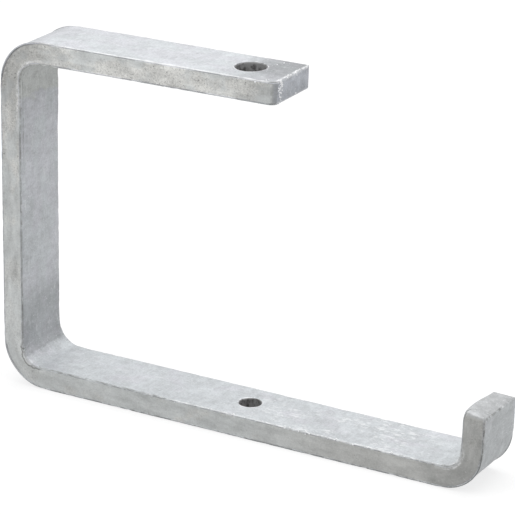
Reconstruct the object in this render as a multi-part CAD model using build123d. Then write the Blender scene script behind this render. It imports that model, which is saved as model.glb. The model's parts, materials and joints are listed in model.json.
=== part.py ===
from build123d import *
from math import cos, pi, radians, sin, tan
import os

# An open-type cable hanger: one flat steel bar, bent three times to an open C with an upturned lip.
# A threaded rod holds it by the hole in its short top arm, and cables or a tray lie on its long seat.
# Millimetres, +Z up, +X from the web towards the lip, +Y towards the back edge of the bar.
# The origin is on the underside, at the axis of the seat hole, halfway between the web and the lip.

# The flat bar
bar_width = 30.0
bar_thickness = 10.0
arris_radius = 0.6

# The bent form: clear sizes are between the faces that hold the load, angles are in degrees
clear_width = 220.0
clear_height = 143.0
top_arm_length = 138.0
lip_height = 35.0
top_arm_rise = 0.6
lip_lean = 1.5

# The bends: inner radii, and how far each edge of the bar moves at the middle of a bend,
# out where the inner side is squeezed and in where the outer side is stretched
body_bend_radius = 10.0
lip_bend_radius = 8.0
bend_swell = 0.7
bend_draw = 0.35

# The two ends: corners seen from the broad side, rounder at the front, and the slant that the shear
# leaves on the top arm
front_corner_radius = 4.0
back_corner_radius = 1.5
shear_slant = 2.0

# The holes, both in the middle of the bar's width
rod_hole_diameter = 13.5
rod_hole_edge_distance = 20.0
seat_hole_diameter = 10.0
hole_rim_radius = 0.4

# Worked out from the sizes above
half_thickness = bar_thickness / 2
web_centre_x = -(clear_width / 2 + half_thickness)
web_outer_x = web_centre_x - half_thickness
lip_foot_x = clear_width / 2 + half_thickness
top_bend_z = bar_thickness + clear_height + half_thickness
bend_stations = 4


def on_top_arm(distance_from_web):
    """A point on the top arm's centreline, by its distance from the web's outer face."""
    rise = (distance_from_web - half_thickness) * tan(radians(top_arm_rise))
    return Vector(web_outer_x + distance_from_web, 0, top_bend_z + rise)


def bar_centreline():
    """The middle of the bar's thickness, from the sheared end of the top arm to the tip of the lip."""
    lip_rise = lip_height - half_thickness
    lip_tip = Vector(lip_foot_x + lip_rise * tan(radians(lip_lean)), 0, lip_height)
    body_radius = body_bend_radius + half_thickness
    lip_radius = lip_bend_radius + half_thickness
    return FilletPolyline(
        on_top_arm(top_arm_length + bar_thickness),
        on_top_arm(half_thickness),
        Vector(web_centre_x, 0, half_thickness),
        Vector(lip_foot_x, 0, half_thickness),
        lip_tip,
        radius=[body_radius, body_radius, lip_radius],
    )


def bar_section(run, share, swelling):
    """The section at a share of a run's length, with swelling from 0 on a straight run to 1 in mid-bend."""
    inner_half = bar_width / 2 + bend_swell * swelling
    outer_half = bar_width / 2 - bend_draw * swelling
    corners = [
        (-inner_half, half_thickness),
        (inner_half, half_thickness),
        (outer_half, -half_thickness),
        (-outer_half, -half_thickness),
    ]
    # The plane's own Y points to the inside of the C all along the bar.
    plane = Plane(origin=run @ share, x_dir=(0, 1, 0), z_dir=run % share)
    return plane * make_face(Polyline(*corners, close=True))


def straight_run(run):
    return sweep(bar_section(run, 0, 0), path=run)


def bend(run):
    """A bend whose inner side swells and outer side draws in, fading to nothing at both its ends."""
    shares = [station / bend_stations for station in range(bend_stations + 1)]
    sections = [bar_section(run, share, sin(pi * share) ** 2) for share in shares]
    return sweep(sections, path=run, multisection=True)


def sheared_arm(run):
    """The top arm's straight, cut a little out of square so that its lower edge is the shorter."""
    cut_point = on_top_arm(top_arm_length) + Vector(0, 0, half_thickness)
    cut_direction = radians(top_arm_rise - shear_slant)
    cut = Plane(origin=cut_point, x_dir=(0, 1, 0), z_dir=(cos(cut_direction), 0, sin(cut_direction)))
    return split(straight_run(run), bisect_by=cut, keep=Keep.BOTTOM)


def bent_bar():
    arm, top_bend, web, seat_bend, seat, lip_bend, lip = bar_centreline().edges()
    bar = sheared_arm(arm) + bend(top_bend) + straight_run(web)
    bar += bend(seat_bend) + straight_run(seat)
    return bar + bend(lip_bend) + straight_run(lip)


def end_faces(bar):
    """The two ends of the bar: the sheared face, and the top of the lip."""
    arm_end = bar.faces().sort_by_distance(on_top_arm(top_arm_length))[0]
    lip_top = bar.faces().sort_by_distance(bar_centreline() @ 1)[0]
    return ShapeList([arm_end, lip_top])


def corner_edges(bar, side):
    """The edges through the bar's thickness at both its ends, at the front (-1) or at the back (1)."""
    edges = end_faces(bar).edges()
    return edges.filter_by(lambda edge: abs((edge % 0.5).Y) < 0.5 and (edge @ 0.5).Y * side > 0)


def rounded_end_corners(bar):
    bar = fillet(corner_edges(bar, -1), front_corner_radius)
    return fillet(corner_edges(bar, 1), back_corner_radius)


def rounded_arrises(bar):
    """Round the outlines of the inner and outer broad sides, which take in all the sharp edges left."""
    ends = end_faces(bar)
    broad_faces = bar.faces().filter_by(lambda face: abs(face.normal_at().Y) < 0.5 and face not in ends)
    edges = broad_faces.edges()
    outline = [edge for edge in edges if sum(edge.is_same(other) for other in edges) == 1]
    return fillet(outline, arris_radius)


def drilled(bar):
    """Drill the rod hole square to the top arm and the seat hole square to the seat, and ease their rims."""
    arm_normal = (-sin(radians(top_arm_rise)), 0, cos(radians(top_arm_rise)))
    rod_plane = Plane(origin=on_top_arm(top_arm_length - rod_hole_edge_distance), z_dir=arm_normal)
    seat_plane = Plane(origin=(0, 0, half_thickness))
    bar -= rod_plane * Cylinder(rod_hole_diameter / 2, 2 * bar_thickness)
    bar -= seat_plane * Cylinder(seat_hole_diameter / 2, 2 * bar_thickness)
    rims = bar.edges().filter_by(GeomType.CIRCLE).filter_by(lambda edge: edge.is_closed)
    return fillet(rims, hole_rim_radius)


hanger = drilled(rounded_arrises(rounded_end_corners(bent_bar())))

os.makedirs("parts", exist_ok=True)
export_step(hanger, "parts/hanger_bar.step")
print(f"bar length along its middle: {bar_centreline().length - bar_thickness:.1f} mm")
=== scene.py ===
# %% [markdown]
# # An open-type cable hanger in Blender
#
# The real object is one flat steel bar, bent three times to an open C and dipped in molten zinc.
# Its form is already exact in the CAD model, so this script has one job: the zinc.
# A dipped bar isn't smooth. The coat is wavy, swells in the bends and round the holes, stands as
# beads where the bath drained off, and dries to a satin grey with pale streaks and dark pinholes.
#
# Everything is in metres, in the CAD model's own frame, so no piece needs fitting.

import bpy
import json
from math import cos, pi, radians, sin, tan
from mathutils import Matrix, Vector


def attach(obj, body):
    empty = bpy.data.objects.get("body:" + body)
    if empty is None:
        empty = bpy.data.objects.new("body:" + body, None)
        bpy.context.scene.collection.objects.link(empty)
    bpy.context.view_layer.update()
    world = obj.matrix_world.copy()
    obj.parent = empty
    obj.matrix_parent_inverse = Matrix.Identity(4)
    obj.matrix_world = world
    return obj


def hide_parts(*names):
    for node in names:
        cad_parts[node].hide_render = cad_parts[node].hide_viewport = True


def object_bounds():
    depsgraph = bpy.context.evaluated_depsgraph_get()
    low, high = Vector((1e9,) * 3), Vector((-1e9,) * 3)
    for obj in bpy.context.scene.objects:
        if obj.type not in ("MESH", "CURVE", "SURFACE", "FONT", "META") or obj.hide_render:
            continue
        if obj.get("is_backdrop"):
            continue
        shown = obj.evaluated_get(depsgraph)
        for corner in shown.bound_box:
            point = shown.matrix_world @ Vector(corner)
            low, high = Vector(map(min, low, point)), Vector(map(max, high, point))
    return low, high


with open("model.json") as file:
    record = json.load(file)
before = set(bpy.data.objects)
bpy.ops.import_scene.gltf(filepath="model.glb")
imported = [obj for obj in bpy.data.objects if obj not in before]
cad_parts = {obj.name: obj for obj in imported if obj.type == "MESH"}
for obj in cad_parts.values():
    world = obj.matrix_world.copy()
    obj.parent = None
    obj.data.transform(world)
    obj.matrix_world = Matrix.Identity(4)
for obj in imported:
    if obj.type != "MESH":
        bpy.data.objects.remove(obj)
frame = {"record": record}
cad_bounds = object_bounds()
BAR = "hanger_bar"
SLOT = "galvanised_steel"
MM = 0.001
mounts = {mount["name"]: mount for mount in frame["record"]["mounts"]}
print("the CAD model's box in mm:", [round((high - low) / MM, 2) for low, high in zip(*cad_bounds)])

# %% [markdown]
# ## The viewpoint
#
# The photograph was taken from in front, to the right and a little above, from far back with a
# long lens, so the bar's edges stay almost parallel. The camera's place, direction and small roll
# were fitted to the bar's edges. Its matrix is built from three directions, which keeps the roll.

# %% Camera
def placed(name, data):
    """A new object with that data, linked to the scene."""
    made = bpy.data.objects.new(name, data)
    bpy.context.scene.collection.objects.link(made)
    return made


picture_pixels = 515
focal_pixels = 3066.75
camera_place = Vector((0.61213, -1.08077, 0.54628))
azimuth, elevation, roll = radians(29.426), radians(20.636), radians(0.900)

forward = Vector((-sin(azimuth) * cos(elevation), cos(azimuth) * cos(elevation), -sin(elevation)))
level_right = forward.cross(Vector((0, 0, 1))).normalized()
level_up = level_right.cross(forward)
right = level_right * cos(roll) + level_up * sin(roll)
up = level_up * cos(roll) - level_right * sin(roll)

camera = placed("camera", bpy.data.cameras.new("camera"))
camera.data.sensor_width = 36.0
camera.data.lens = focal_pixels / picture_pixels * camera.data.sensor_width
camera.data.clip_end = 20.0
camera.matrix_world = Matrix.Translation(camera_place) @ Matrix((right, up, -forward)).transposed().to_4x4()
bpy.context.scene.camera = camera
print(f"lens {camera.data.lens:.1f} mm, {camera_place.length:.2f} m from the hole in the seat")

# %% [markdown]
# ## Node maths as Python
#
# A shader or a Geometry Nodes tree soon holds a hundred small Math nodes. Writing them one by one
# hides the idea, so one small class stands for a socket. Adding or multiplying two of them adds the
# Math node, and `make` adds any other node: its settings first, then its sockets.

# %% A class for sockets
class Wire:
    """A socket of a node tree. Sums on it add Math nodes, and make adds any other node."""

    def __init__(self, tree, socket=None):
        self.tree = tree
        self.socket = socket

    @staticmethod
    def pick(sockets, name):
        """The socket with that number or name, or the first one in use."""
        if isinstance(name, int):
            return sockets[name]
        return next((s for s in sockets if s.enabled and name in (None, s.name)), None)

    def make(self, kind, sockets=None, output=None, **settings):
        node = self.tree.nodes.new(kind)
        for name, value in settings.items():
            setattr(node, name, value)
        for name, value in (sockets or {}).items():
            socket = self.pick(node.inputs, name)
            if isinstance(value, Wire):
                self.tree.links.new(value.socket, socket)
            else:
                socket.default_value = value
        return Wire(self.tree, self.pick(node.outputs, output))

    def out(self, name):
        """Another output of the same node."""
        return Wire(self.tree, self.pick(self.socket.node.outputs, name))

    def maths(self, operation, *values):
        return self.make("ShaderNodeMath", dict(enumerate((self, *values))), operation=operation)

    def vector(self, operation, *values):
        return self.make("ShaderNodeVectorMath", dict(enumerate((self, *values))), operation=operation)

    def vector_number(self, operation, other=(0, 0, 0)):
        """A Vector Math operation whose result is a number, such as DOT_PRODUCT or LENGTH."""
        return self.make("ShaderNodeVectorMath", {0: self, 1: other}, "Value", operation=operation)

    def scaled(self, factor):
        return self.make("ShaderNodeVectorMath", {0: self, "Scale": factor}, operation="SCALE")

    def parts(self):
        """The X, Y and Z of a vector."""
        first = self.make("ShaderNodeSeparateXYZ", {"Vector": self})
        return first, first.out("Y"), first.out("Z")

    def __add__(self, other):
        return self.maths("ADD", other)

    def __sub__(self, other):
        return self.maths("SUBTRACT", other)

    def __mul__(self, other):
        return self.maths("MULTIPLY", other)

    def __truediv__(self, other):
        return self.maths("DIVIDE", other)

    def __rsub__(self, other):
        return self.make("ShaderNodeMath", {0: other, 1: self}, operation="SUBTRACT")

    __radd__ = __add__
    __rmul__ = __mul__

    def step(self, start, end):
        """0 before start, 1 after end, and smooth between them."""
        sockets = {"Value": self, "From Min": start, "From Max": end}
        return self.make("ShaderNodeMapRange", sockets, interpolation_type="SMOOTHSTEP")

    def noise(self, size, seed=0, stretch=(1, 1, 1), detail=2.0, roughness=0.5):
        """Cloudy noise about 0.5, with lumps of that size in metres, longer where stretch is above 1."""
        scale = [1 / (size * each) for each in stretch]
        place = self.vector("MULTIPLY", scale).vector("ADD", (seed, seed, seed))
        sockets = {"Vector": place, "Scale": 1.0, "Detail": detail, "Roughness": roughness}
        return self.make("ShaderNodeTexNoise", sockets, noise_dimensions="3D")

    def mix(self, one, other):
        """The colour one where this is 0, the colour other where it is 1."""
        return self.make("ShaderNodeMix", {"Factor": self, "A": one, "B": other}, data_type="RGBA")


# %% [markdown]
# ## Growing a mesh with Geometry Nodes
#
# Three helpers open a tree with its named sizes, close it, and turn its result into a plain mesh.
# The modifier's inputs are set by their identifiers before Blender first evaluates the object.

# %% Tree helpers
def geometry_tree(name, sizes):
    """A tree with a named input for each size. Returns it with a wire for each input."""
    tree = bpy.data.node_groups.new(name, "GeometryNodeTree")
    kinds = {"Geometry": "NodeSocketGeometry", **sizes, "Finish": "NodeSocketMaterial"}
    for label, kind in kinds.items():
        tree.interface.new_socket(label, in_out="INPUT", socket_type=kind)
    tree.interface.new_socket("Geometry", in_out="OUTPUT", socket_type="NodeSocketGeometry")
    source = tree.nodes.new("NodeGroupInput")
    return tree, {label: Wire(tree, source.outputs[label]) for label in kinds}


def close_tree(tree, geometry, finish):
    """Ends a tree in Realize Instances and Set Material."""
    real = geometry.make("GeometryNodeRealizeInstances", {"Geometry": geometry})
    painted = real.make("GeometryNodeSetMaterial", {"Geometry": real, "Material": finish})
    sink = tree.nodes.new("NodeGroupOutput")
    tree.links.new(painted.socket, sink.inputs["Geometry"])


def grown(name, tree, values):
    """A new object with the plain mesh that the tree grows from those values."""
    start = placed("start", bpy.data.meshes.new("start"))
    modifier = start.modifiers.new(name, "NODES")
    modifier.node_group = tree
    inputs = {item.name: item.identifier for item in tree.interface.items_tree if item.in_out == "INPUT"}
    for label, value in values.items():
        modifier[inputs[label]] = value
    evaluated = start.evaluated_get(bpy.context.evaluated_depsgraph_get())
    mesh = bpy.data.meshes.new_from_object(evaluated)
    mesh.name = name
    bpy.data.objects.remove(start)
    triangles = sum(len(face.vertices) - 2 for face in mesh.polygons)
    print(f"{name}: {len(mesh.vertices)} vertices, {triangles} triangles")
    return placed(name, mesh)


# %% [markdown]
# ## The line and the section of the bar
#
# The bar is one section carried along one line, so a curve and an outline describe nearly all of
# it. The line runs through the middle of the bar's thickness, from the free end of the top arm to
# the tip of the lip. It has five corners, each with its bend's radius kept as the point's radius.
# Both ends run on a little, because the tree folds that extra length inwards to close the ends.
#
# The sizes are the CAD model's, and every face stands a fifth of a millimetre further out. Flat bar
# is rolled a little over its size, and the zinc adds its own tenth of a millimetre.

# %% Sizes of the bar
steel_half, coat = 5 * MM, 0.2 * MM
width, half, arris = 30 * MM + 2 * coat, steel_half + coat, 0.6 * MM
clear_width, clear_height = 220 * MM, 143 * MM
top_arm_length, top_arm_rise = 138 * MM, radians(0.6)
lip_height, lip_lean = 35 * MM, radians(1.5)
shear_slant = 0.035
body_radius, lip_radius = 15 * MM, 13 * MM
front_corner, back_corner, lip_corner = 4.0 * MM, 1.3 * MM, 2.0 * MM
rod_hole_radius, rod_hole_edge = 6.75 * MM, 20 * MM
seat_hole_radius = 5 * MM
cap = 5 * MM
print(f"the coated bar's section: {width / MM:.1f} x {2 * half / MM:.1f} mm")


def spare(corner):
    """What an end needs in extra length: the cap, and the arc of a corner of that radius."""
    return cap + corner * (pi / 2 - 1)


arm_end = spare(front_corner)
print(f"the free end is {arm_end / MM:.2f} mm along the line")


# %% Centreline of the bar
def line_corners():
    """The corners of the line from the arm's free end to the tip of the lip, both run on a little."""
    web_x, lip_x = -(clear_width / 2 + steel_half), clear_width / 2 + steel_half
    arm_bend = Vector((web_x, 0, clear_height + 3 * steel_half))
    lip_foot = Vector((lip_x, 0, steel_half))
    arm_run = (top_arm_length - steel_half) / cos(top_arm_rise) + coat + arm_end
    lip_run = (lip_height - steel_half) / cos(lip_lean) + coat + spare(lip_corner)
    start = arm_bend + arm_run * Vector((cos(top_arm_rise), 0, sin(top_arm_rise)))
    end = lip_foot + lip_run * Vector((sin(lip_lean), 0, cos(lip_lean)))
    return [start, arm_bend, Vector((web_x, 0, steel_half)), lip_foot, end]


def bend_spans(corners, radii):
    """Where each bend starts and ends, by the length along the rounded line."""
    spans, reached, saved = [], 0.0, 0.0
    for before, corner, after, radius in zip(corners, corners[1:], corners[2:], radii[1:]):
        reached += (corner - before).length
        turn = (corner - before).angle(after - corner)
        tangent = radius * tan(turn / 2)
        start = reached - saved - tangent
        spans.append((start, start + radius * turn))
        saved += 2 * tangent - radius * turn
    return spans


def bar_centreline(corners, radii):
    curve = bpy.data.curves.new("centreline", "CURVE")
    curve.dimensions = "3D"
    spline = curve.splines.new("POLY")
    spline.points.add(len(corners) - 1)
    for point, corner, radius in zip(spline.points, corners, radii):
        point.co = (*corner, 1)
        point.radius = radius
    return placed("centreline", curve)


corners = line_corners()
radii = [0, body_radius, body_radius, lip_radius, 0]
bends = bend_spans(corners, radii)
top_bend, seat_bend, lip_bend = bends
seat_start, lip_start = seat_bend[1], lip_bend[0]
lip_tip = lip_bend[1] + (lip_height - steel_half) / cos(lip_lean) + coat
lip_tip -= lip_radius * tan((pi / 2 - lip_lean) / 2)
mid_web = (top_bend[1] + seat_bend[0]) / 2
centreline = bar_centreline(corners, radii)
print("bends along the bar in mm:", [[round(end / MM, 1) for end in span] for span in bends])

# %% [markdown]
# ## The bar as a Geometry Nodes tree
#
# A voxel remesh of the CAD model would be quick, but it softens the crisp arrises. A sweep keeps
# them: its faces run along the bar, fine enough for the relief that comes later. The tree stores
# what each point needs to know, its place along the line and in the section, sweeps the section,
# and then sets every point by formula.

# %% Curves with their numbers
def stored(geometry, kind, name, value):
    """The geometry with one more number or vector kept on its points."""
    sockets = {"Geometry": geometry, "Name": name, "Value": value}
    return geometry.make("GeometryNodeStoreNamedAttribute", sockets, data_type=kind, domain="POINT")


def recalled(wire, kind, name):
    return wire.make("GeometryNodeInputNamedAttribute", {"Name": name}, data_type=kind)


def rounded_line(size):
    line = size["Centreline"].make("GeometryNodeObjectInfo", {"Object": size["Centreline"]}, "Geometry")
    sockets = {"Curve": line, "Count": 32, "Radius": line.make("GeometryNodeInputRadius")}
    line = line.make("GeometryNodeFilletCurve", sockets, mode="POLY")
    return line.make("GeometryNodeResampleCurve", {"Curve": line, "Length": size["Cell"]}, mode="LENGTH")


def rounded_section(size):
    """The outline of the flat bar: its X runs across the bar, its Y towards the inside of the C."""
    sockets = {"Width": size["Width"], "Height": size["Thickness"]}
    outline = size["Width"].make("GeometryNodeCurvePrimitiveQuadrilateral", sockets, mode="RECTANGLE")
    odd = outline.make("GeometryNodeInputIndex").maths("MODULO", 2)
    across_cuts = size["Width"] / size["Across Cell"]
    cuts = across_cuts + (size["Thickness"] / size["Through Cell"] - across_cuts) * odd
    outline = outline.make("GeometryNodeSubdivideCurve", {"Curve": outline, "Cuts": cuts})
    place = outline.make("GeometryNodeInputPosition").vector("ABSOLUTE").parts()
    at_side = place[0].maths("GREATER_THAN", size["Width"] * 0.499)
    corner = at_side * place[1].maths("GREATER_THAN", size["Thickness"] * 0.499)
    sockets = {"Curve": outline, "Count": 3, "Radius": size["Arris"] * corner}
    return outline.make("GeometryNodeFilletCurve", sockets, mode="POLY")


# %% [markdown]
# ## Swollen bends and closed ends
#
# A cold-bent bar bulges at the inner side of each bend, where the steel is squeezed, and draws in at
# the outer side. Its ends are sheared, a little out of square, with rounded corners. A bevel would
# need its edges picked one by one, so the same formulas do it all. They widen the section by how
# much the line is turning. Near an end they narrow it along a quarter circle, and shrink the last
# few sections to a line, which closes the end.

# %% Shaping formulas
def stand_in(distance, radius):
    """How far a rounded corner stands in from the full size, by the distance from the end."""
    short = (radius - distance).maths("MAXIMUM", 0.0)
    return radius - (radius * radius - short * short).maths("SQRT")


def end_zone(along, radius, size):
    """For one end: the distance from it, the slide that gives that distance, and the share of the cap."""
    quarter = radius * (pi / 2)
    angle = along.maths("MAXIMUM", 0.0).maths("MINIMUM", quarter) / radius
    distance = radius * (1 - angle.maths("COSINE")) + (along - quarter).maths("MAXIMUM", 0.0)
    slide = distance - along + radius * (pi / 2 - 1)
    share = (along * -1 / size["Cap"]).maths("MAXIMUM", 0.0).maths("MINIMUM", 1.0)
    return distance, slide, share


def corner_radius(across, tip_share, at_lip, size):
    """The radius of the end corners: the lip's front one grows from its outer to its inner side."""
    in_front = across.maths("LESS_THAN", 0.0)
    at_arm = size["Back Corner"] + (size["Front Corner"] - size["Back Corner"]) * in_front
    return at_arm + (size["Lip Corner"] * (tip_share * in_front + 1) - at_arm) * at_lip


def swept_bar(size):
    """The section carried along the line, with each point's numbers kept on it, and the line's length."""
    line = rounded_line(size)
    length = line.make("GeometryNodeCurveLength", {"Curve": line})
    line = stored(line, "FLOAT", "run", line.make("GeometryNodeSplineParameter", output="Length"))
    line = stored(line, "FLOAT_VECTOR", "foot", line.make("GeometryNodeInputPosition"))
    line = stored(line, "FLOAT_VECTOR", "heading", line.make("GeometryNodeInputTangent"))
    outline = rounded_section(size)
    outline = stored(outline, "FLOAT_VECTOR", "section", outline.make("GeometryNodeInputPosition"))
    return line.make("GeometryNodeCurveToMesh", {"Curve": line, "Profile Curve": outline}), length


def bent_bar(size):
    """The swept bar, with its bends swollen and both its ends rounded and closed."""
    bar, length = swept_bar(size)
    run, foot = recalled(bar, "FLOAT", "run"), recalled(bar, "FLOAT_VECTOR", "foot")
    heading = recalled(bar, "FLOAT_VECTOR", "heading")
    across, through, _ = recalled(bar, "FLOAT_VECTOR", "section").parts()
    half_width, half_thickness = size["Width"] * 0.5, size["Thickness"] * 0.5

    arm_distance, arm_slide, arm_cap = end_zone(run - size["Cap"], size["Front Corner"], size)
    lip_distance, lip_slide, lip_cap = end_zone(length - run - size["Cap"], size["Lip Corner"], size)
    nearest = arm_distance.maths("MINIMUM", lip_distance)
    cap_share = arm_cap + lip_cap
    tip_share = (through * (1 - cap_share) / half_thickness + 1) * 0.5
    corner = corner_radius(across, tip_share, lip_distance.maths("LESS_THAN", arm_distance), size)

    way = heading.parts()
    bending = (way[0] * way[2] * 2).maths("POWER", 2.0)
    inner_share = (through / half_thickness + 1) * 0.5
    wider = (inner_share * (size["Swell"] + size["Draw"]) - size["Draw"]) * bending
    room = half_width - stand_in(nearest, corner)
    across = across * ((room + wider - cap_share * half_thickness) / half_width)
    through = through * (1 - stand_in(nearest, size["Arris"]) / half_thickness) * (1 - cap_share)
    slant = (through + half_thickness) * size["Shear"] * (1 - arm_distance.step(0.0, 20 * MM))

    inward = heading.vector("CROSS_PRODUCT", (0, 1, 0))
    place = foot.vector("ADD", heading.scaled(arm_slide + slant - lip_slide))
    place = place.vector("ADD", inward.scaled(through))
    place = place.vector("ADD", bar.make("ShaderNodeCombineXYZ", {"Y": across}))
    bar = bar.make("GeometryNodeSetPosition", {"Geometry": bar, "Position": place})
    for name in ("run", "foot", "heading", "section"):
        bar = bar.make("GeometryNodeRemoveAttribute", {"Geometry": bar, "Name": name})
    return bar.make("GeometryNodeMergeByDistance", {"Geometry": bar, "Distance": 0.02 * MM})


# %% [markdown]
# ## The two holes
#
# A cutter for each hole is a cylinder whose ends flare like the eased rim of a drilled hole. It is
# turned to the hole's own axis, which the CAD record gives, and a boolean takes it out of the bar.

# %% Hole cutters
def hole_cutter(size, name):
    radius = size[name + " Radius"]
    sockets = {"Vertices": 72, "Side Segments": 48, "Radius": radius, "Depth": size["Thickness"] * 1.2}
    cutter = radius.make("GeometryNodeMeshCylinder", sockets, fill_type="NGON")
    place = cutter.make("GeometryNodeInputPosition")
    depth = (size["Thickness"] * 0.5 - place.parts()[2].maths("ABSOLUTE")).maths("MAXIMUM", 0.0)
    grow = stand_in(depth, size["Rim"]) / radius + 1
    flare = cutter.make("ShaderNodeCombineXYZ", {"X": grow, "Y": grow, "Z": 1.0})
    sockets = {"Geometry": cutter, "Position": place.vector("MULTIPLY", flare)}
    cutter = cutter.make("GeometryNodeSetPosition", sockets)
    turn = cutter.make("FunctionNodeAlignRotationToVector", {"Vector": size[name + " Axis"]}, axis="Z")
    sockets = {"Geometry": cutter, "Translation": size[name + " Place"], "Rotation": turn}
    return cutter.make("GeometryNodeTransform", sockets)


def drilled(bar, size):
    for name in ("Rod Hole", "Seat Hole"):
        sockets = {"Mesh 1": bar, "Mesh 2": hole_cutter(size, name)}
        bar = bar.make("GeometryNodeMeshBoolean", sockets, operation="DIFFERENCE", solver="MANIFOLD")
    return bar


# %% [markdown]
# ## The bar laid out straight
#
# Patterns on the real bar follow the steel, not the room: streaks run along it and round its bends.
# So the tree lays the bar out straight in thought. For each point it finds the nearest point of the
# centreline, and stores the distance along the bar, across it and through it as `unbent`, with the
# way the surface faces in the same terms as `facing`. Relief and material both read them.

# %% Along, across and through the bar
def laid_out_straight(skin, size):
    """Stores unbent = (along, across, through) and facing, both in the bar's own directions."""
    line = rounded_line(size)
    line = stored(line, "FLOAT", "run", line.make("GeometryNodeSplineParameter", output="Length"))
    line = stored(line, "FLOAT_VECTOR", "heading", line.make("GeometryNodeInputTangent"))
    points = line.make("GeometryNodeCurveToPoints", {"Curve": line}, mode="EVALUATED")
    place = skin.make("GeometryNodeInputPosition")
    sockets = {"Geometry": points, "Sample Position": place}
    nearest = skin.make("GeometryNodeSampleNearest", sockets, domain="POINT")

    def sampled(kind, value):
        sockets = {"Geometry": points, "Value": value, "Index": nearest}
        return skin.make("GeometryNodeSampleIndex", sockets, data_type=kind, domain="POINT")

    foot = sampled("FLOAT_VECTOR", place)
    run = sampled("FLOAT", recalled(skin, "FLOAT", "run"))
    heading = sampled("FLOAT_VECTOR", recalled(skin, "FLOAT_VECTOR", "heading"))
    inward = heading.vector("CROSS_PRODUCT", (0, 1, 0))

    def in_bar_directions(vector, start):
        along = vector.vector_number("DOT_PRODUCT", heading) + start
        sockets = {"X": along, "Y": vector.parts()[1], "Z": vector.vector_number("DOT_PRODUCT", inward)}
        return vector.make("ShaderNodeCombineXYZ", sockets)

    unbent = in_bar_directions(place.vector("SUBTRACT", foot), run)
    facing = in_bar_directions(skin.make("GeometryNodeInputNormal"), 0.0)
    return stored(stored(skin, "FLOAT_VECTOR", "unbent", unbent), "FLOAT_VECTOR", "facing", facing)


# %% [markdown]
# ## Where on the bar is this point?
#
# Zinc is thick, thin, rubbed or chipped depending on how near an arris, an end, a hole or a bend is.
# Painting that by hand would tie it to one mesh, so it is worked out from `unbent`. Places along the
# bar are lengths from the start of the line, and across it the front side is negative.

# %% Distances from arrises, ends, holes and bends
hole_spots = [
    (arm_end + coat + rod_hole_edge, rod_hole_radius),
    (seat_start + clear_width / 2 + steel_half - body_radius, seat_hole_radius),
]
print("holes along the bar in mm:", [round(spot / MM, 1) for spot, _ in hole_spots])


def near(value, place, reach):
    """1 where the value is at that place, falling to 0 a reach away from it."""
    return 1 - (value - place).maths("ABSOLUTE").step(0.0, reach)


def between(value, start, end, soft):
    """1 from start to end, fading to 0 over a soft length centred on each."""
    started = value.step(start - soft / 2, start + soft / 2)
    return started * (1 - value.step(end - soft / 2, end + soft / 2))


def arris_gap(unbent):
    """The distance from the nearest of the four long arrises."""
    _, across, through = unbent.vector("ABSOLUTE").parts()
    return (width / 2 - across).maths("MAXIMUM", 0.0) + (half - through).maths("MAXIMUM", 0.0)


def end_rim_gap(unbent):
    """The distance from the outline of the sheared end."""
    along, _, through = unbent.parts()
    return (along - arm_end).maths("MAXIMUM", 0.0) + half - through.maths("ABSOLUTE")


def tip_rim_gap(unbent):
    """The distance from the outer edge of the lip's tip."""
    along, _, through = unbent.parts()
    return (lip_tip - along).maths("MAXIMUM", 0.0) + through + half


def hole_gap(unbent):
    """The distance from the nearer hole's wall."""
    along, across, _ = unbent.parts()
    gaps = []
    for spot, radius in hole_spots:
        flat = along.make("ShaderNodeCombineXYZ", {"X": along - spot, "Y": across})
        gaps.append(flat.vector_number("LENGTH") - radius)
    return gaps[0].maths("MINIMUM", gaps[1])


def in_front(unbent):
    """1 on the front half of the bar's width."""
    return unbent.parts()[1].maths("LESS_THAN", 0.0)


def inner_half(unbent):
    """1 on the half of the bar's thickness that is nearer to the inside of the C."""
    return unbent.parts()[2].maths("GREATER_THAN", 0.0)


def inner_face(facing):
    """1 on the broad face that looks to the inside of the C."""
    return facing.parts()[2].step(0.2, 0.6)


def in_bends(along, soft):
    """1 in the three bends, fading to 0 over a soft length at both ends of each."""
    first, second, third = [between(along, start, end, soft) for start, end in bends]
    return first + second + third


def bead_reach(along, soft):
    """1 where the inner edges stand up: in the bends, and some way down the web from the first."""
    below = between(along, top_bend[1], top_bend[1] + 22 * MM, 14 * MM)
    return (in_bends(along, soft) + below).maths("MINIMUM", 1.0)


# %% [markdown]
# ## Zinc relief
#
# Molten zinc drains off a hot bar and freezes in slow waves with finer dimples over them. At the
# inner edge of each bend the squeezed steel stands out as a bead and as a raised edge, largest in
# the front corner where the seat starts, with a lump of zinc over it. The shear left a hump on the
# lip's tip, zinc swells round the holes, the stretched outer sides of the bends are thinner, and the
# arrises have chips. A bump map would do for the dimples, but not for what shows at the outline, so
# all of it is real relief. Each formula gives a height in metres, and one node moves the points.

# %% Relief formulas
def squeezed_edge(unbent):
    """How far the inner edge of a bend stands out from the bar's side, as a bead."""
    along, across, through = unbent.parts()
    lump = near(along, seat_bend[0] + 13 * MM, 9 * MM) * in_front(unbent)
    off_middle = (half - 0.6 * MM - through) / (1.1 * MM + lump * 1.1 * MM)
    bead = (1 - off_middle * off_middle).maths("MAXIMUM", 0.0).maths("SQRT")
    at_side = across.maths("ABSOLUTE").step(width / 2 - 0.7 * MM, width / 2 - 0.1 * MM)
    uneven = unbent.noise(5 * MM, 41) + 0.5
    return bead * at_side * in_bends(along, 10 * MM) * (0.25 * MM + lump * 0.2 * MM) * uneven


def tip_hump(unbent):
    """How far the inner edge of the lip's tip stands up, most of all in its front half."""
    along, across, through = unbent.parts()
    at_tip = along.step(lip_tip - 7 * MM, lip_tip)
    return near(across, -5 * MM, 20 * MM) * through.step(-half, half) * at_tip * 1.6 * MM


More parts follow.
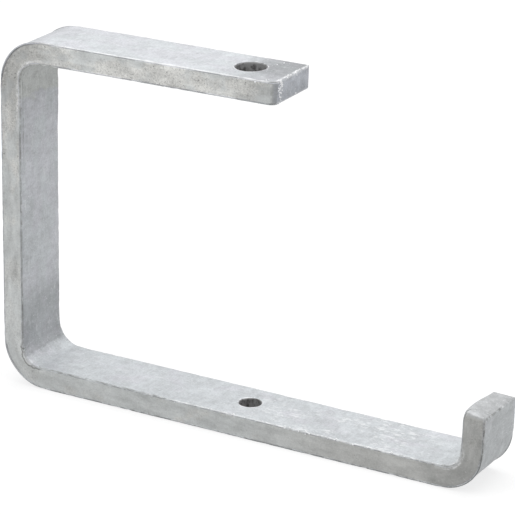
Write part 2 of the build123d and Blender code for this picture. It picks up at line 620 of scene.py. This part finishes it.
def raised_edge(unbent, facing):
    """How far the inner broad side stands up along its edges, in the bends and a little beyond."""
    along, across, through = unbent.parts()
    edge = near(across.maths("ABSOLUTE"), width / 2 - 0.7 * MM, 1.7 * MM)
    edge = edge * through.step(half - 2 * MM, half - 0.4 * MM) * inner_face(facing)
    uneven = unbent.noise(3 * MM, 97) + 0.5
    return edge * bead_reach(along, 12 * MM) * 0.4 * MM * uneven


def chipped_off(unbent):
    """The share of a chip's depth that is missing at the long arrises and at the lip's tip."""
    at_arris = 1 - arris_gap(unbent).step(0.0, 1.2 * MM)
    at_tip = 1 - tip_rim_gap(unbent).step(0.0, 1.6 * MM)
    chips = unbent.noise(2.6 * MM, 31, (2, 1, 1)).step(0.52, 0.7) * at_arris
    return chips + at_tip * (unbent.noise(3.5 * MM, 101) - 0.6) * 2


def with_relief(skin, size):
    """The skin with every point moved by the sum of the relief."""
    unbent, facing = recalled(skin, "FLOAT_VECTOR", "unbent"), recalled(skin, "FLOAT_VECTOR", "facing")
    along, across, through = unbent.parts()
    to_inside = facing.parts()[2]
    flatness = to_inside.maths("ABSOLUTE")
    rough_end = (1 - along.step(12 * MM, 19 * MM)) * through.maths("LESS_THAN", 0.0)
    waves = (unbent.noise(24 * MM, 3) - 0.5) * size["Wave"] * 2
    dimples = (unbent.noise(6 * MM, 7, (1.6, 1, 1)) - 0.5) * size["Dimples"] * 2
    ripple = (unbent.noise(2.4 * MM, 11) - 0.5) * size["Ripple"] * (2 + rough_end * 3)
    ring = near(hole_gap(unbent), 0.9 * MM, 1.0 * MM) * flatness.step(0.6, 0.9)
    swelling = ring * unbent.noise(3 * MM, 37) * size["Hole Swelling"] * 2
    stretched = in_bends(along, 6 * MM) * to_inside.maths("LESS_THAN", 0.0) * flatness
    height = waves + dimples + ripple + swelling + raised_edge(unbent, facing)
    height = height - chipped_off(unbent) * size["Chips"] - stretched * size["Thinning"]

    bead = squeezed_edge(unbent) * across.maths("SIGN")
    offset = skin.make("GeometryNodeInputNormal").scaled(height)
    offset = offset.vector("ADD", skin.make("ShaderNodeCombineXYZ", {"Y": bead, "Z": tip_hump(unbent)}))
    return skin.make("GeometryNodeSetPosition", {"Geometry": skin, "Offset": offset})


# %% [markdown]
# ## One tree with named sizes
#
# All the steps above become one tree. Its sizes are named inputs, so it can be opened in Blender and
# changed by hand. Cells of about a millimetre are fine enough for the dimples.

# %% The whole tree
BAR_SIZES = {
    "Width": width,
    "Thickness": 2 * half,
    "Arris": arris,
    "Swell": 0.7 * MM - coat,
    "Draw": 0.35 * MM + coat,
    "Front Corner": front_corner,
    "Lip Corner": lip_corner,
    "Back Corner": back_corner,
    "Shear": shear_slant,
    "Cap": cap,
    "Rod Hole Radius": rod_hole_radius,
    "Seat Hole Radius": seat_hole_radius,
    "Rim": 0.4 * MM,
    "Cell": 0.75 * MM,
    "Across Cell": 1.0 * MM,
    "Through Cell": 0.5 * MM,
    "Wave": 0.12 * MM,
    "Dimples": 0.05 * MM,
    "Ripple": 0.02 * MM,
    "Chips": 0.2 * MM,
    "Hole Swelling": 0.12 * MM,
    "Thinning": 0.85 * MM,
}
HOLE_VECTORS = ("Rod Hole Place", "Rod Hole Axis", "Seat Hole Place", "Seat Hole Axis")


def dipped_bar_tree():
    kinds = {"Centreline": "NodeSocketObject"}
    kinds.update(dict.fromkeys(BAR_SIZES, "NodeSocketFloat"))
    kinds.update(dict.fromkeys(HOLE_VECTORS, "NodeSocketVector"))
    tree, size = geometry_tree("dipped_bar", kinds)
    skin = with_relief(laid_out_straight(drilled(bent_bar(size), size), size), size)
    skin = skin.make("GeometryNodeSetShadeSmooth", {"Geometry": skin})
    close_tree(tree, skin, size["Finish"])
    return tree


bar_tree = dipped_bar_tree()
print("the bar's tree:", len(bar_tree.nodes), "nodes")

# %% [markdown]
# ## The colours of zinc
#
# Weathered galvanising is a satin grey, part metal and part pale oxide. On the broad faces it is
# bluish, on the rolled sides it lies in rough warm patches and smooth cool ones, and the ends are
# darker. One grey with noise would look like plastic, so `unbent` and `facing` choose each colour.

# %% Colours
BROAD_BLUE = (0.598, 0.624, 0.645, 1)
BROAD_LILAC = (0.608, 0.620, 0.652, 1)
BROAD_WARM = (0.622, 0.640, 0.626, 1)
SIDE_WARM = (0.602, 0.603, 0.585, 1)
SIDE_COOL = (0.556, 0.574, 0.572, 1)
END_COLOUR = (0.510, 0.532, 0.575, 1)
TIP_COLOUR = (0.500, 0.510, 0.520, 1)
# Besides the zinc's own oxide, this white is also used for painted highlights on beads, bend edges, arrises
# and hole rims.
OXIDE_AND_HIGHLIGHT_WHITE = (0.93, 0.94, 0.95, 1)
# Besides chips, this dark is also used for painted shade and shadow at bead feet, creases, arrises and
# rounded corners.
CHIP_AND_SHADE_DARK = (0.17, 0.17, 0.16, 1)
# Painted shade: the holes' walls take these two tones of shade.
HOLE_DEEP_SHADE = (0.100, 0.098, 0.095, 1)
HOLE_LIGHTER_SHADE = (0.370, 0.372, 0.373, 1)


def rough_patches(unbent):
    """1 in the rough warm patches and 0 in the smooth cool ones, of which the seat has more."""
    along = unbent.parts()[0]
    smooth = along.step(top_bend[1], top_bend[1] + 50 * MM) * 0.06 + along.step(*seat_bend) * 0.08
    return (unbent.noise(9 * MM, 23, (1.5, 1, 1), 3.0) - smooth).step(0.38, 0.56)


def base_colour(unbent, facing):
    """Bluish on the broad faces, warm and cool patches on the sides, smooth and darker on the ends."""
    ends, sides, _ = facing.vector("ABSOLUTE").parts()
    along, patches = unbent.parts()[0], rough_patches(unbent)
    ragged = along + (unbent.noise(7 * MM, 103, detail=4.0) - 0.5) * 16 * MM
    warm = between(ragged, top_bend[0] - 10 * MM, top_bend[1] + 9 * MM, 3 * MM) * inner_face(facing)
    warm = (warm + along.step(lip_start - 8 * MM, lip_bend[1]) * 0.25).maths("MINIMUM", 1.0)
    broad = warm.mix(patches.mix(BROAD_BLUE, BROAD_LILAC), BROAD_WARM)
    warm_side = patches * (1 - near(along, seat_bend[0], 70 * MM) * 0.8)
    warm_side = warm_side.maths("MAXIMUM", along.step(seat_start + 84 * MM, seat_start + 174 * MM) * 0.8)
    colour = sides.step(0.55, 0.8).mix(broad, warm_side.mix(SIDE_COOL, SIDE_WARM))
    end_colour = along.step(mid_web - 5 * MM, mid_web + 5 * MM).mix(END_COLOUR, TIP_COLOUR)
    return ends.step(0.55, 0.85).mix(colour, end_colour)


# %% [markdown]
# ## Slow and quick tones
#
# Handling and a thin coat darken the bar in slow zones. Painted shade darkens it under the arm, at the
# foot of the web and on the sides of the bends and the far seat, and painted light lifts the sides of
# the arm and web and the arm's lower arrises. The zinc itself is mottled, wrinkled and pitted at every
# smaller size. Both the slow and the quick tones are factors on the base colour, so its hue stays.

# %% Tones
def darker_zones(unbent, facing):
    """How much darker the handled and thinly coated places are, and the painted shade, from the arm to the
    lip.
    """
    along, across, through = unbent.parts()
    end, side, _ = facing.vector("ABSOLUTE").parts()
    end, side = end.step(0.5, 0.8), side.step(0.5, 0.8)
    inner, outer = inner_face(facing), (facing.parts()[2] * -1).step(0.2, 0.6)
    ragged = unbent.noise(5 * MM, 71, detail=4.0) * 12 * MM
    handled = (1 - (along + ragged).step(22 * MM, 46 * MM)) * outer
    handled = handled * (0.24 + across.step(-9 * MM, -3 * MM) * 0.20)
    over_bend = between(along, top_bend[0] + 4 * MM, top_bend[1] + 10 * MM, 12 * MM) * outer
    # Painted shade: the sides of the top bend, the inner face under the arm and above the seat's bend, and
    # the sides of the far seat and of the lip's bend are darkened as if in shade.
    top_bend_side_shade = along.step(top_bend[0] - 3 * MM, top_bend[0] + 5 * MM) * side
    top_bend_side_shade = top_bend_side_shade * (1 - along.step(top_bend[1] + 2 * MM, top_bend[1] + 22 * MM))
    under_arm_shade = near(along, top_bend[1], 22 * MM) * inner
    torn = along + (unbent.noise(2.5 * MM, 107, detail=4.0) - 0.5) * 6 * MM
    above_seat_shade = along.step(seat_bend[0] - 32 * MM, seat_bend[0] - 14 * MM) * inner
    above_seat_shade = above_seat_shade * (1 - torn.step(seat_bend[0] + 8.5 * MM, seat_bend[0] + 11 * MM))
    frosted_seat = between(along, seat_start + 104 * MM, lip_start, 24 * MM) * inner
    far_seat_shade = along.step(seat_start + 104 * MM, seat_start + 174 * MM) * side
    lip_bend_side_shade = between(along, lip_start - 8 * MM, lip_bend[1], 10 * MM) * side
    lip = along.step(lip_start - 12 * MM, lip_start + 6 * MM)
    end_slope = through / half * end * (lip * 0.14 - 0.06)
    on_faces = handled + over_bend * 0.24 + under_arm_shade * 0.07 + above_seat_shade * 0.25 + frosted_seat * 0.05
    side_shade = top_bend_side_shade * 0.21 + far_seat_shade * 0.18 + lip_bend_side_shade * 0.11
    return on_faces + side_shade + lip * 0.08 - end_slope


def slow_tones(unbent, facing):
    """The slow changes of tone from one end of the bar to the other, with painted light, as a factor."""
    along = unbent.parts()[0]
    side = facing.parts()[1].maths("ABSOLUTE").step(0.5, 0.8)
    # Painted light: the sides of the arm and web are painted lighter as if lit more strongly, and the arm's
    # lower arrises are lightened against the shade they turn to.
    arm_side_light = along.step(10 * MM, 50 * MM) * (1 - along.step(top_bend[0] - 20 * MM, top_bend[0] + 4 * MM))
    web_side_light = between(along, top_bend[1] + 10 * MM, seat_bend[0], 20 * MM)
    under_arris_light = (1 - arris_gap(unbent).step(0.3 * MM, 1.0 * MM)) * inner_half(unbent)
    under_arris_light = under_arris_light * (1 - along.step(top_bend[0] - 6 * MM, top_bend[0] + 2 * MM))
    painted_light = (arm_side_light * 0.23 + web_side_light * 0.08 + 0.05) * side + under_arris_light * 0.5
    return 1 + painted_light - darker_zones(unbent, facing)


def quick_tones(unbent, facing):
    """Clouds, runs, mottle, grain and pits as a factor, weaker on the smooth ends."""
    ends, sides, _ = facing.vector("ABSOLUTE").parts()
    plain = 1 - ends.step(0.5, 0.8) * 0.2
    rough = rough_patches(unbent) * sides * (1 - unbent.parts()[0].step(top_bend[0], seat_bend[0]) * 0.6)
    clouds = (unbent.noise(14 * MM, 2, (1.6, 1, 1), 3.0, 0.6) - 0.5) * (0.34 + rough * 0.10)
    runs = (unbent.noise(3.6 * MM, 149, (3.4, 1, 1), 5.0, 0.65) - 0.5) * (sides + ends) * 0.85
    mottle = (unbent.noise(4.5 * MM, 1, (1.3, 1, 1), 5.0, 0.65) - 0.5) * (0.46 - sides * 0.10 + rough * 0.35)
    wrinkles = (unbent.noise(3.2 * MM, 127, (0.7, 1.9, 1), 4.0, 0.65) - 0.5) * (0.42 - sides * 0.30)
    grain = (unbent.noise(0.9 * MM, 9, (1, 1, 1), 3.0, 0.8) - 0.5) * (0.60 - sides * 0.15 + rough * 0.75)
    pits = unbent.noise(1.0 * MM, 13, (1, 1, 1), 3.0, 0.7).step(0.58, 0.68) * (0.12 + rough * 0.34)
    return (clouds + runs + mottle + wrinkles + grain - pits) * plain + 1


# %% [markdown]
# ## Pale streaks, and arrises with wear and painted light
#
# Zinc dries with whitish streaks along the bar, and lies as patchy frost on the far half of the
# seat. The arrises have broken lines: white where thick zinc was rubbed and as painted highlight for
# the light on the rounded arris, dark where it chipped and as painted shade. The lines come from the
# distance to the arris, and one noise decides where they break.

# %% Streaks and arrises
def whitish(unbent, facing):
    """Streaks along the broad faces, frost on the far half of the seat, and small specks of oxide."""
    sides = facing.parts()[1].maths("ABSOLUTE")
    flat = 1 - sides.step(0.2, 0.6)
    streaks = unbent.noise(2.6 * MM, 5, (3.2, 1, 1), 5.0, 0.7).step(0.52, 0.74) * flat * 0.34
    frosted = between(unbent.parts()[0], seat_start + 104 * MM, seat_start + 188 * MM, 24 * MM)
    frosted = frosted * inner_face(facing) * unbent.noise(11 * MM, 137, (1.4, 1, 1), 2.0).step(0.42, 0.56)
    frost = unbent.noise(2.4 * MM, 131, (2.0, 1, 1), 5.0, 0.75).step(0.51, 0.60) * flat * frosted * 0.55
    specks = unbent.noise(0.9 * MM, 17, (1, 1, 1), 2.0).step(0.64, 0.72) * (0.45 - sides * 0.25)
    return streaks.maths("MAXIMUM", specks).maths("MAXIMUM", frost)


def wear_and_light_zones(along, inner):
    """How much the front arrises are pale from rubbing and painted highlight, and how much darkened by chips
    and painted shade, along the bar.
    """
    outer = 1 - inner
    # On the arm the pale line is partly painted highlight, standing for the light on the rounded front
    # arris.
    on_arm = (1 - along.step(top_bend[0] - 41 * MM, top_bend[0] - 6 * MM)) * 1.5
    near_end = (1 - along.step(arm_end + 38 * MM, arm_end + 63 * MM)) * 0.9
    on_seat = between(along, seat_start + 64 * MM, seat_start + 185 * MM, 26 * MM)
    on_lip = between(along, lip_start + 8 * MM, lip_tip - 5 * MM, 6 * MM)
    on_web = between(along, top_bend[1] + 14 * MM, seat_bend[0] - 4 * MM, 12 * MM) * 1.1
    first_seat = between(along, seat_start - 2 * MM, seat_start + 58 * MM, 8 * MM)
    next_seat = between(along, seat_start + 58 * MM, seat_start + 112 * MM, 8 * MM) * 0.6
    under_seat = between(along, seat_start + 10 * MM, lip_start, 12 * MM) * 0.9
    rubbed_and_highlit = (on_arm + near_end) * outer + (on_seat + on_lip) * inner
    return rubbed_and_highlit, (on_web + first_seat + next_seat) * inner + under_seat * outer


def arris_lines(unbent):
    """Two masks for the long arrises: pale lines, partly from rubbing and partly painted highlight, and
    darker lines, partly chips and partly painted shade.
    """
    along = unbent.parts()[0]
    front, inner = in_front(unbent), inner_half(unbent)
    tip = 1 - tip_rim_gap(unbent).step(0.3 * MM, 1.0 * MM)
    round_lip = along.step(lip_start, lip_start + 10 * MM) * front * (1 - inner)
    wander = (unbent.noise(1.8 * MM, 113, (2, 1, 1), 3.0) - 0.5) * 0.9 * MM
    line = 1 - (arris_gap(unbent) + wander - round_lip * 0.25 * MM).step(0.15 * MM, 0.70 * MM)
    line = line.maths("MAXIMUM", tip)
    rubbed_and_highlit, chipped_and_shaded = [zone * front for zone in wear_and_light_zones(along, inner)]
    chipped_and_shaded = chipped_and_shaded + round_lip * 0.4 + tip * 0.2
    lump = near(along, sum(seat_bend) / 2, 14 * MM) * inner
    worn = unbent.noise(1.5 * MM, 31, (2.4, 1, 1), 4.0, 0.7)
    # Painted highlight and shade: the pale and dark lines stand partly for light and shade on the rounded
    # arrises, partly for rubbed zinc and chips.
    white = (worn + rubbed_and_highlit * 0.20).step(0.58, 0.72) * line
    dark = (worn - front * 0.06 - chipped_and_shaded * 0.10 + rubbed_and_highlit * 0.25 + lump * 0.3).step(0.34, 0.46)
    return white, (1 - dark) * line


# %% [markdown]
# ## Marks, painted highlights and painted shade in the bends, at the ends and in the holes
#
# Each place where the steel was worked has its own mark: a painted highlight on the bead in the bends
# with painted shadow at its foot, a lump of zinc with a notch and painted shade in a crease in the
# seat's bend, a band of painted shade round the ends' rounded front corners, and holes painted as
# shade with lighter blotches and a painted highlight on their rims.

# %% Marks
def bend_highlight_and_shadow(colour, unbent, facing):
    """A painted highlight along the bead at each bend's inner edge, and a broken line of painted shadow at
    its foot.
    """
    along, across, through = unbent.parts()
    side = facing.parts()[1].maths("ABSOLUTE").step(0.4, 0.7)
    ragged = unbent.noise(1.4 * MM, 73, (2, 1, 1), 4.0, 0.7).step(0.40, 0.60)
    # Painted highlight: the pale ridge stands for the light caught by the raised bead.
    ridge_highlight = near(half - through, 1.4 * MM, 1.0 * MM) * side * bead_reach(along, 14 * MM)
    colour = (ridge_highlight * (ragged * 0.65 + 0.08)).mix(colour, OXIDE_AND_HIGHLIGHT_WHITE)
    # Painted shadow: the dark line at the foot stands for the shade beside the standing bead.
    foot = near(across, 2.1 * MM - width / 2, 0.7 * MM) * facing.parts()[2].step(0.3, 0.6)
    foot = foot * between(along, top_bend[0] - 2 * MM, top_bend[1] + 34 * MM, 10 * MM)
    return (foot * (ragged * 0.5 + 0.2)).mix(colour, CHIP_AND_SHADE_DARK)


def lump_marks_and_crease_shade(colour, unbent, facing):
    """The pale lump at the front corner of the seat's bend, with a dark notch and painted shade along a
    crease.
    """
    along, _, through = unbent.parts()
    place = seat_bend[0] + 14.5 * MM
    corner = in_front(unbent) * inner_half(unbent)
    lump = near(along, place, 3 * MM) * (1 - arris_gap(unbent).step(0.4 * MM, 2.2 * MM))
    colour = (lump * corner * 0.35).mix(colour, OXIDE_AND_HIGHLIGHT_WHITE)
    notch = near(along, seat_bend[0] + 3.5 * MM, 5 * MM) * (1 - arris_gap(unbent).step(0.3 * MM, 2.0 * MM))
    notch = notch * unbent.noise(1.3 * MM, 139, detail=3.0).step(0.42, 0.56)
    colour = (notch * corner * 0.8).mix(colour, CHIP_AND_SHADE_DARK)
    # Painted shade: the crease is darkened as the shade in a fold.
    depth = half - through + (unbent.noise(2.4 * MM, 79, detail=4.0) - 0.5) * 2.2 * MM
    depth = depth - near(along, place - 2 * MM, 9 * MM) * 1.7 * MM
    crease = near(depth, 0.9 * MM, 0.8 * MM) * near(along, place - 2 * MM, 15 * MM).step(0.0, 0.35)
    side = facing.parts()[1].maths("ABSOLUTE").step(0.4, 0.7)
    return (crease * side * in_front(unbent) * 0.8).mix(colour, CHIP_AND_SHADE_DARK)


def end_corner_shade_and_rim(colour, unbent, facing):
    """A band of painted shade round the rounded front corner of both ends, and the pale rim of the sheared
    one, from rubbing.
    """
    along = unbent.parts()[0]
    # Painted shade: the rounded front corners are darkened as if turned away from the light.
    uneven = facing.parts()[1] + (unbent.noise(1.5 * MM, 83) - 0.5) * 0.3
    at_arm = between(uneven, -0.86, -0.30, 0.14) * (1 - along.step(8 * MM, 12 * MM))
    at_tip = between(uneven, -0.97, -0.45, 0.14) * along.step(lip_tip - 5 * MM, lip_tip - 2 * MM)
    colour = ((at_arm + at_tip * 0.9) * in_front(unbent) * 0.42).mix(colour, CHIP_AND_SHADE_DARK)
    ragged = unbent.noise(1.5 * MM, 43, detail=3.0).step(0.40, 0.60)
    rim = (1 - end_rim_gap(unbent).step(0.3 * MM, 1.7 * MM)) * (ragged * 0.7 + 0.3)
    return (rim * 0.7).mix(colour, OXIDE_AND_HIGHLIGHT_WHITE)


def hole_shade_and_rim_highlight(colour, unbent):
    """The holes' walls painted as shade, blotched and darker low down, and a broken painted highlight on
    their rims.
    """
    along, _, through = unbent.parts()
    gap = hole_gap(unbent)
    ragged = unbent.noise(1.6 * MM, 47, detail=3.0).step(0.44, 0.56)
    # Painted highlight: the broken pale line on the holes' rims.
    colour = (near(gap, 0.6 * MM, 0.6 * MM) * ragged * 0.85).mix(colour, OXIDE_AND_HIGHLIGHT_WHITE)
    # Painted shade: the walls are darker low down in the holes.
    upward = along.step(top_bend[0], seat_start) * 2 - 1
    height = through / (2 * half) * upward
    blotches = (unbent.noise(2.2 * MM, 53, (1, 1, 1.4), 4.0, 0.7) + height * 0.22).step(0.38, 0.66)
    return (1 - gap.step(0.1 * MM, 0.4 * MM)).mix(colour, blotches.mix(HOLE_DEEP_SHADE, HOLE_LIGHTER_SHADE))


# %% [markdown]
# ## One finish for the whole bar
#
# The layers lie over each other, the zinc's own colours with painted light and shade among them. The
# zinc is only part metal, because its oxide is not, and a fine bump keeps it satin. Beads and rubbed
# places shine a little more.

# %% Material
def empty_material(name):
    material = bpy.data.materials.new(name)
    material.use_nodes = True
    material.node_tree.nodes.clear()
    return material, Wire(material.node_tree)


def attribute(wire, name, output="Vector"):
    return wire.make("ShaderNodeAttribute", output=output, attribute_name=name)


def zinc():
    material, wire = empty_material(SLOT)
    unbent, facing = attribute(wire, "unbent"), attribute(wire, "facing")
    on_bead = attribute(wire, "bead", "Fac")
    # The slow tones carry painted light and shade, and the later layers add painted highlights and shade.
    colour = base_colour(unbent, facing).scaled(slow_tones(unbent, facing) * quick_tones(unbent, facing))
    colour = whitish(unbent, facing).mix(colour, OXIDE_AND_HIGHLIGHT_WHITE)
    colour = bend_highlight_and_shadow(end_corner_shade_and_rim(colour, unbent, facing), unbent, facing)
    colour = lump_marks_and_crease_shade(colour, unbent, facing)
    white, dark = arris_lines(unbent)
    colour = (white * 0.8).mix((dark * 0.7).mix(colour, CHIP_AND_SHADE_DARK), OXIDE_AND_HIGHLIGHT_WHITE)
    # The beads are painted full oxide white, partly their own zinc and partly a painted highlight.
    colour = on_bead.mix(hole_shade_and_rim_highlight(colour, unbent), OXIDE_AND_HIGHLIGHT_WHITE)

    grain = unbent.noise(0.9 * MM, 61, (1, 1, 1), 3.0, 0.7)
    bump = {"Strength": 1.0, "Distance": 0.08 * MM, "Height": grain}
    sockets = {
        "Base Color": colour,
        "Metallic": 0.35,
        "Roughness": grain * 0.25 + 0.42 - (white + on_bead) * 0.1,
        "Normal": wire.make("ShaderNodeBump", bump),
    }
    shader = wire.make("ShaderNodeBsdfPrincipled", sockets)
    wire.make("ShaderNodeOutputMaterial", {"Surface": shader})
    return material


finish = zinc()
print("the zinc's shader:", len(finish.node_tree.nodes), "nodes")

# %% [markdown]
# ## The skin of the bar
#
# The tree now grows the skin: the whole surface of the bar with its coat. The holes' places and axes
# come from the CAD record. The skin replaces the CAD model's own mesh, on the hanger's one body.

# %% Skin of the bar
holes = {}
for label, mount in (("Rod Hole", mounts["rod_hole"]), ("Seat Hole", mounts["seat_hole"])):
    holes[label + " Place"] = mount["pos_m"]
    holes[label + " Axis"] = mount["axis"]
values = {**BAR_SIZES, **holes, "Centreline": centreline, "Finish": finish}
skin = grown("zinc_skin", bar_tree, values)
bpy.data.objects.remove(centreline)
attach(skin, "root")
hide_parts(BAR)

# %% [markdown]
# ## Beads of zinc
#
# Where the bath drained off the sheared end it left a ragged column of bright beads down the front
# corner, with smaller ones round the rim and over the rough skin behind it. They are scattered on
# the skin by a second tree, thickly where its mask is high, with a fixed seed. Each is a small
# sphere sunk to its middle, so that it reads as a frozen drop.

# %% Where beads gather
def bead_density(unbent):
    """Beads to the square metre: a column on the sheared end, its rim, the rough skin and one arris."""
    along, across, through = unbent.parts()
    on_end = 1 - along.step(arm_end + 0.3 * MM, arm_end + 1.0 * MM)
    column = between(across, -11.6 * MM, -9.4 * MM, 0.6 * MM) * on_end
    rim = 1 - end_rim_gap(unbent).step(0.2 * MM, 1.0 * MM)
    rough = (1 - along.step(14 * MM, 24 * MM)) * through.maths("LESS_THAN", 2 * MM - half)
    ragged_arris = (1 - arris_gap(unbent).step(0.2 * MM, 0.9 * MM)) * inner_half(unbent)
    ragged_arris = ragged_arris * between(along, 365 * MM, 485 * MM, 20 * MM) * in_front(unbent)
    return column * 1.5e6 + rim * 0.55e6 + rough * 0.016e6 + ragged_arris * 0.2e6


def bead_tree():
    kinds = {"Skin": "NodeSocketObject", "Smallest": "NodeSocketFloat", "Largest": "NodeSocketFloat"}
    tree, size = geometry_tree("zinc_beads", kinds)
    skin = size["Skin"].make("GeometryNodeObjectInfo", {"Object": size["Skin"]}, "Geometry")
    sockets = {"Mesh": skin, "Density": bead_density(recalled(skin, "FLOAT_VECTOR", "unbent")), "Seed": 4}
    points = skin.make("GeometryNodeDistributePointsOnFaces", sockets, "Points")
    sockets = {"Min": size["Smallest"], "Max": size["Largest"], "Seed": 8}
    radius = skin.make("FunctionNodeRandomValue", sockets, data_type="FLOAT")
    ball = skin.make("GeometryNodeMeshIcoSphere", {"Radius": 1.0, "Subdivisions": 2})
    sockets = {"Points": points, "Instance": ball, "Scale": radius}
    balls = points.make("GeometryNodeInstanceOnPoints", sockets)
    balls = balls.make("GeometryNodeRealizeInstances", {"Geometry": balls})
    balls = stored(balls, "FLOAT", "bead", 1.0)
    balls = balls.make("GeometryNodeSetShadeSmooth", {"Geometry": balls})
    close_tree(tree, balls, size["Finish"])
    return tree


# %% Beads
sizes = {"Skin": skin, "Smallest": 0.16 * MM, "Largest": 0.50 * MM, "Finish": finish}
beads = grown("zinc_beads", bead_tree(), sizes)
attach(beads, "root")

# %% [markdown]
# ## The floor
#
# The photograph is a studio cut-out on pure white. A wide floor, part paper and part its own light,
# stays white to the camera and still takes the bar's soft shadow. From below it is see-through, so
# that the underside can be looked at too. It touches the lowest point of the skin.

# %% Floor
def seen(wire):
    """1 for the light that reaches the camera, straight or by way of the bar."""
    path = wire.make("ShaderNodeLightPath", output="Is Camera Ray")
    return path.maths("MAXIMUM", path.out("Is Glossy Ray")).maths("MAXIMUM", path.out("Is Transmission Ray"))


def floor_material(lift):
    material, wire = empty_material("pale_floor")
    paper = wire.make("ShaderNodeBsdfDiffuse", {"Color": (0.35, 0.35, 0.35, 1)})
    glow = wire.make("ShaderNodeEmission", {"Color": (1, 1, 1, 1), "Strength": seen(wire) * lift})
    both = wire.make("ShaderNodeAddShader", {0: paper, 1: glow})
    below = wire.make("ShaderNodeNewGeometry", output="Backfacing")
    sockets = {0: below, 1: both, 2: wire.make("ShaderNodeBsdfTransparent")}
    shader = wire.make("ShaderNodeMixShader", sockets)
    wire.make("ShaderNodeOutputMaterial", {"Surface": shader})
    return material


floor_z = min(vertex.co.z for vertex in skin.data.vertices)
reach = 6.0
square = [(x, y, floor_z) for x, y in ((-reach, -reach), (reach, -reach), (reach, reach), (-reach, reach))]
floor_mesh = bpy.data.meshes.new("floor")
floor_mesh.from_pydata(square, [], [(0, 1, 2, 3)])
floor_mesh.materials.append(floor_material(0.72))
floor = placed("floor", floor_mesh)
floor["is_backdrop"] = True
print(f"the floor lies at {floor_z / MM:.2f} mm")

# %% [markdown]
# ## The light
#
# A white room lights the bar from everywhere, and three soft lamps give it its shape. The strong
# one above makes the top faces pale, the one in front lifts the upright sides, and a weak one on
# the right opens the shade inside the C.

# %% World
room_level = 0.56
world = bpy.data.worlds.new("studio")
bpy.context.scene.world = world
world.use_nodes = True
world.node_tree.nodes.clear()
sky = Wire(world.node_tree)
sockets = {"Color": (1, 1, 1, 1), "Strength": seen(sky) * (1 - room_level) + room_level}
sky.make("ShaderNodeOutputWorld", {"Surface": sky.make("ShaderNodeBackground", sockets)})


# %% Lamps
def softbox(name, place, aim, size, watts):
    light = bpy.data.lights.new(name, "AREA")
    light.shape = "SQUARE"
    light.size = size
    light.energy = watts
    lamp = placed(name, light)
    lamp.location = place
    lamp.rotation_euler = (Vector(aim) - Vector(place)).to_track_quat("-Z", "Y").to_euler()
    return lamp


lamps = [
    softbox("top_light", (0.0, 0.3, 1.6), (0, 0, 0.05), 1.4, 12),
    softbox("right_light", (1.6, -0.2, 0.8), (0, 0, 0.1), 1.0, 1.6),
    softbox("front_light", (-0.7, -1.0, 1.0), (-0.05, 0, 0.12), 0.8, 4.0),
]
bpy.context.scene.view_settings.view_transform = "Standard"
print("lamps in watts:", {lamp.name: round(lamp.data.energy, 1) for lamp in lamps})

# %% [markdown]
# ## The sizes of both boxes
#
# The coat makes the bar a little larger than the CAD model, so both boxes are printed.

# %% Finish
boxes = {"cad": cad_bounds, "visual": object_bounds()}
for name, box in boxes.items():
    print(name, "box in mm:", [[round(value / MM, 2) for value in corner] for corner in box])
